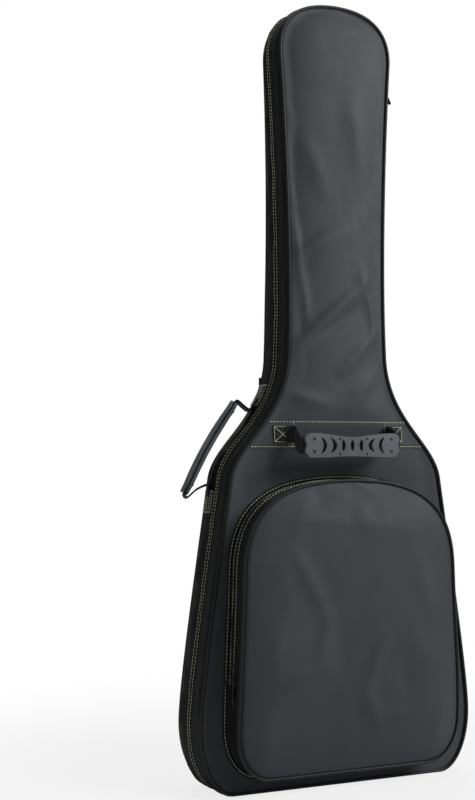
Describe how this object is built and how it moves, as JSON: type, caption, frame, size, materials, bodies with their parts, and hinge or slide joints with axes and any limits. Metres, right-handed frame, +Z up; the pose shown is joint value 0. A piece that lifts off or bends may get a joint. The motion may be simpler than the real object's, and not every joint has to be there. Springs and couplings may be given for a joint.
{
  "type": "padded guitar gig bag",
  "caption": "Padded soft bag for an electric guitar, with a zipped hinged front, outer pocket, carrying handles and backpack straps.",
  "frame": {"origin": "middle of the overall box on the floor that the bag stands on", "axes": "+Z up along the bag, -Y out of the zipped front, +X towards the hinged side"},
  "size_m": [0.4067, 0.1906, 1.05],
  "materials": {
    "shell_fabric": "woven nylon, slight sheen",
    "gusset_fabric": "woven nylon over foam",
    "strap_fabric": "woven nylon over foam, bound edges",
    "foam": "closed-cell foam",
    "lining": "brushed nylon lining",
    "piping": "corded piping",
    "zip_tape": "woven zip tape",
    "zip_coil": "nylon coil",
    "webbing": "ribbed webbing",
    "grip_rubber": "moulded, satin",
    "buckle_plastic": "moulded acetal, satin",
    "zip_metal": "black painted, semi-gloss"
  },
  "bodies": {
    "base": {"back_panel": "shell_fabric", "back_foam": "foam", "back_lining": "lining", "back_piping": "piping", "back_gusset": "gusset_fabric", "zip_tape_base": "zip_tape", "zip_coil_base": "zip_coil", "yoke_band": "shell_fabric", "strap_wing_right": "shell_fabric", "strap_wing_left": "shell_fabric", "slack_webbing_right": "webbing", "slack_webbing_left": "webbing", "neck_rest": "foam", "neck_strap": "webbing", "end_pad": "foam", "side_handle_patches": "webbing"},
    "cover": {"front_panel": "shell_fabric", "front_foam": "foam", "front_lining": "lining", "front_piping": "piping", "front_gusset": "gusset_fabric", "hinge_gusset": "gusset_fabric", "zip_tape_cover": "zip_tape", "zip_coil_cover": "zip_coil", "handle_band": "shell_fabric", "carry_handle_patches": "webbing", "pocket_rear_gusset": "gusset_fabric", "pocket_zip_rear": "zip_tape", "pocket_pouch": "shell_fabric", "pouch_piping": "piping"},
    "pocket_flap": {"pocket_flap": "shell_fabric", "flap_gusset": "gusset_fabric", "flap_piping": "piping", "pocket_zip_flap": "zip_tape"},
    "carry_handle": {"carry_webbing": "webbing", "carry_grip_outer": "grip_rubber", "carry_grip_inner": "grip_rubber", "carry_grip_pins": "buckle_plastic"},
    "side_handle": {"side_webbing": "webbing", "side_grip_outer": "grip_rubber", "side_grip_inner": "grip_rubber", "side_grip_pins": "buckle_plastic"},
    "grab_handle": {"grab_handle": "webbing"},
    "strap_right": {"strap_pad_right": "strap_fabric", "strap_tab_right": "webbing"},
    "strap_left": {"strap_pad_left": "strap_fabric", "strap_tab_left": "webbing"},
    "buckle_right": {"buckle_right": "buckle_plastic"},
    "buckle_left": {"buckle_left": "buckle_plastic"},
    "zip_slider_upper": {"zip_slider_upper": "zip_metal"},
    "zip_slider_lower": {"zip_slider_lower": "zip_metal"},
    "zip_pull_upper": {"zip_pull_upper": "zip_metal"},
    "zip_pull_lower": {"zip_pull_lower": "zip_metal"},
    "pocket_slider_upper": {"pocket_slider_upper": "zip_metal"},
    "pocket_slider_lower": {"pocket_slider_lower": "zip_metal"},
    "pocket_pull_upper": {"pocket_pull_upper": "zip_metal"},
    "pocket_pull_lower": {"pocket_pull_lower": "zip_metal"}
  },
  "joints": [
    {"name": "cover_opening", "type": "hinge", "parent": "base", "child": "cover", "pos_m": [0.21879, 0.02781, 0], "axis": [-0.1305, 0, 0.9914], "range_deg": [0, 110]},
    {"name": "pocket_flap_opening", "type": "hinge", "parent": "cover", "child": "pocket_flap", "pos_m": [0, -0.09049, 0.137], "axis": [1, 0, 0], "range_deg": [0, 110]},
    {"name": "carry_handle_swing", "type": "hinge", "parent": "cover", "child": "carry_handle", "pos_m": [0, -0.05889, 0.464], "axis": [-1, 0, 0], "range_deg": [-30, 75]},
    {"name": "side_handle_swing", "type": "hinge", "parent": "base", "child": "side_handle", "pos_m": [-0.13361, 0.00281, 0.44878], "axis": [0.5147, 0, 0.8574], "range_deg": [-25, 45]},
    {"name": "grab_handle_swing", "type": "hinge", "parent": "base", "child": "grab_handle", "pos_m": [0, 0.03381, 0.549], "axis": [1, 0, 0], "range_deg": [0, 150]},
    {"name": "strap_right_swing", "type": "hinge", "parent": "base", "child": "strap_right", "pos_m": [0.046, 0.03111, 0.5137], "axis": [1, 0, 0], "range_deg": [0, 12]},
    {"name": "strap_left_swing", "type": "hinge", "parent": "base", "child": "strap_left", "pos_m": [-0.046, 0.03111, 0.5137], "axis": [1, 0, 0], "range_deg": [0, 12]},
    {"name": "buckle_right_tilt", "type": "hinge", "parent": "strap_right", "child": "buckle_right", "pos_m": [0.046, 0.04481, 0.166], "axis": [1, 0, 0], "range_deg": [-8, 15]},
    {"name": "buckle_left_tilt", "type": "hinge", "parent": "strap_left", "child": "buckle_left", "pos_m": [-0.046, 0.04481, 0.166], "axis": [1, 0, 0], "range_deg": [-8, 15]},
    {"name": "zip_slider_upper_run", "type": "slide", "parent": "cover", "child": "zip_slider_upper", "axis": [0.0652, 0, 0.9979], "range_m": [-0.003, 0.003]},
    {"name": "zip_slider_lower_run", "type": "slide", "parent": "cover", "child": "zip_slider_lower", "axis": [0.0571, 0, 0.9984], "range_m": [-0.042, 0.003]},
    {"name": "zip_pull_upper_swing", "type": "hinge", "parent": "zip_slider_upper", "child": "zip_pull_upper", "pos_m": [0.08711, -0.02489, 0.96076], "axis": [0, -1, 0], "range_deg": [0, 150]},
    {"name": "zip_pull_lower_swing", "type": "hinge", "parent": "zip_slider_lower", "child": "zip_pull_lower", "pos_m": [0.08581, -0.02489, 0.94078], "axis": [0, -1, 0], "range_deg": [0, 12]},
    {"name": "pocket_slider_upper_run", "type": "slide", "parent": "pocket_flap", "child": "pocket_slider_upper", "axis": [0.0393, 0, 0.9992], "range_m": [-0.003, 0.118]},
    {"name": "pocket_slider_lower_run", "type": "slide", "parent": "pocket_flap", "child": "pocket_slider_lower", "axis": [0.0393, 0, 0.9992], "range_m": [-0.006, 0.003]},
    {"name": "pocket_pull_upper_swing", "type": "hinge", "parent": "pocket_slider_upper", "child": "pocket_pull_upper", "pos_m": [-0.16265, -0.07249, 0.17219], "axis": [0, 1, 0], "range_deg": [0, 150]},
    {"name": "pocket_pull_lower_swing", "type": "hinge", "parent": "pocket_slider_lower", "child": "pocket_pull_lower", "pos_m": [-0.16352, -0.07249, 0.15217], "axis": [0, 1, 0], "range_deg": [0, 12]}
  ]
}
